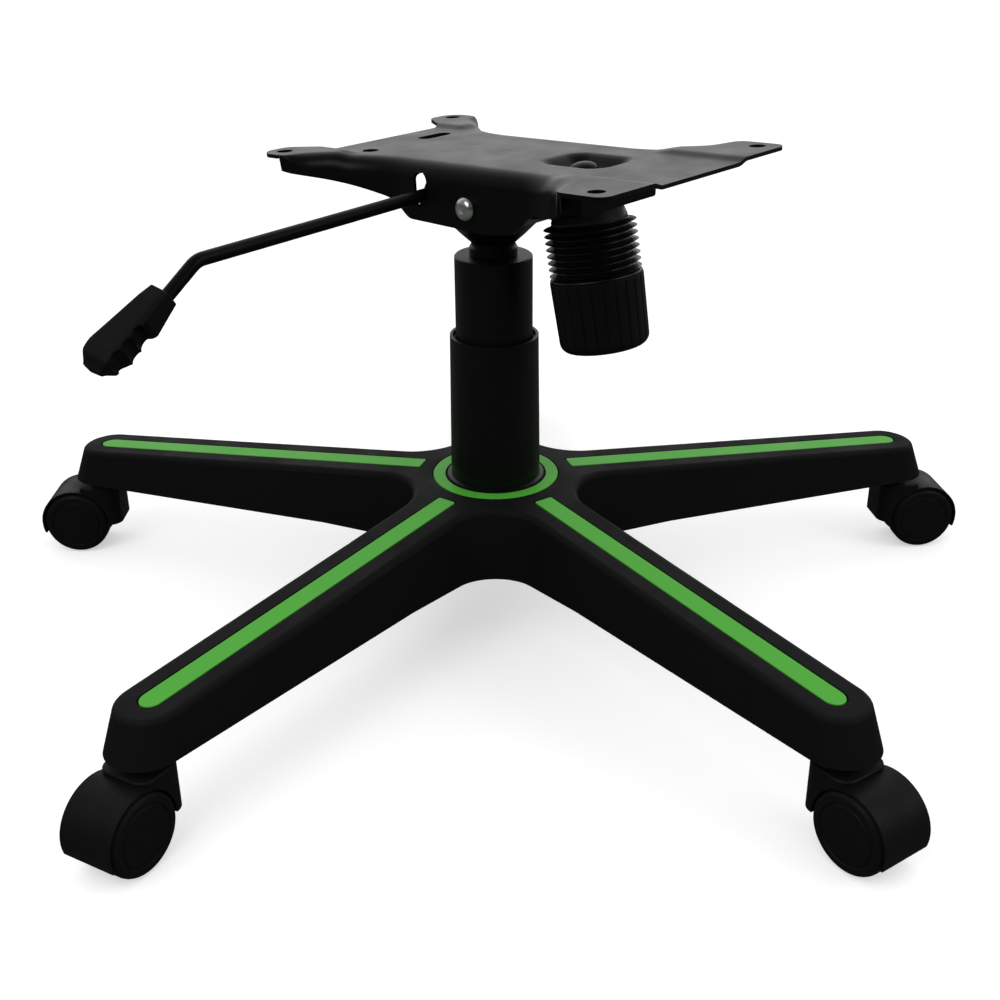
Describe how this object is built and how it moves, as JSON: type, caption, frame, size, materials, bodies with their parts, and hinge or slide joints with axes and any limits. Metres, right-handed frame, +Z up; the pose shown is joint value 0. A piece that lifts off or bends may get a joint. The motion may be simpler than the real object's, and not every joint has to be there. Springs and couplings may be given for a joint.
{
  "type": "office chair five star base",
  "caption": "Swivelling five-star office chair base with hooded twin-wheel casters, gas lift under telescopic covers, and a tilt mechanism with seat plate, side lever and tension knob.",
  "frame": {"origin": "on the floor, on the gas lift's axis", "axes": "+X to the front of the chair (the tension knob's side), +Y to the sitter's left (away from the lever), +Z up"},
  "size_m": [0.7338, 0.722, 0.3472],
  "materials": {
    "nylon": "satin black glass-filled nylon, finely grained",
    "inlay_green": "bright green plastic, satin",
    "painted_tube": "black painted steel tube",
    "bearing_steel": "bright steel",
    "bush_plastic": "natural acetal",
    "bumper_rubber": "black rubber",
    "boot_rubber": "black moulded boot, half gloss",
    "coated_steel": "black powder coat, half gloss",
    "knob_plastic": "black moulded plastic",
    "caster_plastic": "black moulded nylon",
    "wheel_nylon": "black moulded nylon, half gloss disc",
    "axle_steel": "zinc plated steel"
  },
  "bodies": {
    "base": {"star_base": "nylon", "inlay_ring": "inlay_green", "inlay_strip_1": "inlay_green", "inlay_strip_2": "inlay_green", "inlay_strip_3": "inlay_green", "inlay_strip_4": "inlay_green", "inlay_strip_5": "inlay_green", "gas_column": "painted_tube", "guide_sleeve": "bush_plastic", "lower_cover": "nylon", "thrust_bearing": "bearing_steel"},
    "spindle": {"piston_rod": "bearing_steel", "bearing_washer": "bearing_steel", "rubber_bumper": "bumper_rubber", "retaining_clip": "bearing_steel"},
    "lift": {"gas_tube": "painted_tube", "rod_gland": "bush_plastic", "upper_cover": "nylon", "taper_socket": "coated_steel", "tilt_bracket": "coated_steel", "pivot_bushes": "bush_plastic", "spring_seat": "coated_steel", "tension_bellows": "boot_rubber", "tension_spring": "bearing_steel"},
    "cover": {"middle_cover": "nylon"},
    "button": {"release_button": "bush_plastic"},
    "seat": {"seat_plate": "coated_steel", "pivot_pin": "bearing_steel", "tension_bolt": "bearing_steel"},
    "thrust": {"spring_plate": "bearing_steel"},
    "knob": {"tension_knob": "knob_plastic", "knob_nut": "bearing_steel"},
    "lever_pivot": {"lever_bush": "bush_plastic"},
    "lever": {"lever_rod": "coated_steel", "lever_grip": "knob_plastic"},
    "caster_1": {"caster_stem_1": "axle_steel", "caster_hood_1": "caster_plastic", "caster_axle_1": "axle_steel"},
    "wheel_left_1": {"wheel_left_1": "wheel_nylon"},
    "wheel_right_1": {"wheel_right_1": "wheel_nylon"},
    "caster_2": {"caster_stem_2": "axle_steel", "caster_hood_2": "caster_plastic", "caster_axle_2": "axle_steel"},
    "wheel_left_2": {"wheel_left_2": "wheel_nylon"},
    "wheel_right_2": {"wheel_right_2": "wheel_nylon"},
    "caster_3": {"caster_stem_3": "axle_steel", "caster_hood_3": "caster_plastic", "caster_axle_3": "axle_steel"},
    "wheel_left_3": {"wheel_left_3": "wheel_nylon"},
    "wheel_right_3": {"wheel_right_3": "wheel_nylon"},
    "caster_4": {"caster_stem_4": "axle_steel", "caster_hood_4": "caster_plastic", "caster_axle_4": "axle_steel"},
    "wheel_left_4": {"wheel_left_4": "wheel_nylon"},
    "wheel_right_4": {"wheel_right_4": "wheel_nylon"},
    "caster_5": {"caster_stem_5": "axle_steel", "caster_hood_5": "caster_plastic", "caster_axle_5": "axle_steel"},
    "wheel_left_5": {"wheel_left_5": "wheel_nylon"},
    "wheel_right_5": {"wheel_right_5": "wheel_nylon"}
  },
  "joints": [
    {"name": "caster_swivel_1", "type": "hinge", "parent": "base", "child": "caster_1", "pos_m": [0.32816, -0.07215, 0.06], "axis": [0, 0, 1], "continuous": true},
    {"name": "wheel_left_roll_1", "type": "hinge", "parent": "caster_1", "child": "wheel_left_1", "pos_m": [0.34765, -0.07665, 0.0252], "axis": [0.225, 0.9744, 0], "continuous": true},
    {"name": "wheel_right_roll_1", "type": "hinge", "parent": "caster_1", "child": "wheel_right_1", "pos_m": [0.34765, -0.07665, 0.0252], "axis": [0.225, 0.9744, 0], "continuous": true},
    {"name": "caster_swivel_2", "type": "hinge", "parent": "base", "child": "caster_2", "pos_m": [0.17003, 0.2898, 0.06], "axis": [0, 0, 1], "continuous": true},
    {"name": "wheel_left_roll_2", "type": "hinge", "parent": "caster_2", "child": "wheel_left_2", "pos_m": [0.18325, 0.30481, 0.0252], "axis": [-0.7501, 0.6613, 0], "continuous": true},
    {"name": "wheel_right_roll_2", "type": "hinge", "parent": "caster_2", "child": "wheel_right_2", "pos_m": [0.18325, 0.30481, 0.0252], "axis": [-0.7501, 0.6613, 0], "continuous": true},
    {"name": "caster_swivel_3", "type": "hinge", "parent": "base", "child": "caster_3", "pos_m": [-0.22308, 0.25126, 0.06], "axis": [0, 0, 1], "continuous": true},
    {"name": "wheel_left_roll_3", "type": "hinge", "parent": "caster_3", "child": "wheel_left_3", "pos_m": [-0.23737, 0.26525, 0.0252], "axis": [-0.6997, -0.7145, 0], "continuous": true},
    {"name": "wheel_right_roll_3", "type": "hinge", "parent": "caster_3", "child": "wheel_right_3", "pos_m": [-0.23737, 0.26525, 0.0252], "axis": [-0.6997, -0.7145, 0], "continuous": true},
    {"name": "caster_swivel_4", "type": "hinge", "parent": "base", "child": "caster_4", "pos_m": [-0.3079, -0.13452, 0.06], "axis": [0, 0, 1], "continuous": true},
    {"name": "wheel_left_roll_4", "type": "hinge", "parent": "caster_4", "child": "wheel_left_4", "pos_m": [-0.32285, -0.1478, 0.0252], "axis": [0.6639, -0.7478, 0], "continuous": true},
    {"name": "wheel_right_roll_4", "type": "hinge", "parent": "caster_4", "child": "wheel_right_4", "pos_m": [-0.32285, -0.1478, 0.0252], "axis": [0.6639, -0.7478, 0], "continuous": true},
    {"name": "caster_swivel_5", "type": "hinge", "parent": "base", "child": "caster_5", "pos_m": [0.03279, -0.3344, 0.06], "axis": [0, 0, 1], "continuous": true},
    {"name": "wheel_left_roll_5", "type": "hinge", "parent": "caster_5", "child": "wheel_left_5", "pos_m": [0.03712, -0.35392, 0.0252], "axis": [0.9763, 0.2164, 0], "continuous": true},
    {"name": "wheel_right_roll_5", "type": "hinge", "parent": "caster_5", "child": "wheel_right_5", "pos_m": [0.03712, -0.35392, 0.0252], "axis": [0.9763, 0.2164, 0], "continuous": true},
    {"name": "seat_swivel", "type": "hinge", "parent": "base", "child": "spindle", "pos_m": [0, 0, 0.05], "axis": [0, 0, 1], "continuous": true},
    {"name": "seat_height", "type": "slide", "parent": "spindle", "child": "lift", "axis": [0, 0, 1], "range_m": [0, 0.08]},
    {"name": "cover_slide", "type": "slide", "parent": "base", "child": "cover", "axis": [0, 0, 1], "range_m": [0, 0.04]},
    {"name": "seat_tilt", "type": "hinge", "parent": "lift", "child": "seat", "pos_m": [0.0286, 0, 0.3139], "axis": [0, -1, 0], "range_deg": [0, 10], "stiffness_Nm_per_rad": 60, "springref_deg": -14.32, "deforming": ["tension_bellows", "tension_spring"]},
    {"name": "knob_rise", "type": "slide", "parent": "seat", "child": "thrust", "axis": [-0.1908, 0, 0.9816], "range_m": [-0.0045, 0], "deforming": ["tension_bellows", "tension_spring"]},
    {"name": "knob_turn", "type": "hinge", "parent": "thrust", "child": "knob", "pos_m": [0.08904, 0, 0.26322], "axis": [-0.1908, 0, 0.9816], "range_deg": [-1080, 0]},
    {"name": "lever_lift", "type": "hinge", "parent": "lift", "child": "lever_pivot", "pos_m": [-0.0107, -0.0405, 0.3164], "axis": [-1, 0, 0], "range_deg": [0, 4.5]},
    {"name": "lever_pull", "type": "slide", "parent": "lever_pivot", "child": "lever", "axis": [0, -0.9997, -0.0244], "range_m": [0, 0.012]},
    {"name": "button_press", "type": "slide", "parent": "lift", "child": "button", "axis": [0, 0, -1], "range_m": [0, 0.004]}
  ],
  "couplings": [
    {"joint": "cover_slide", "follows": "seat_height", "ratio": 0.5},
    {"joint": "knob_rise", "follows": "knob_turn", "m_per_rad": 0.00023873},
    {"joint": "button_press", "follows": "lever_lift", "m_per_rad": 0.044}
  ]
}
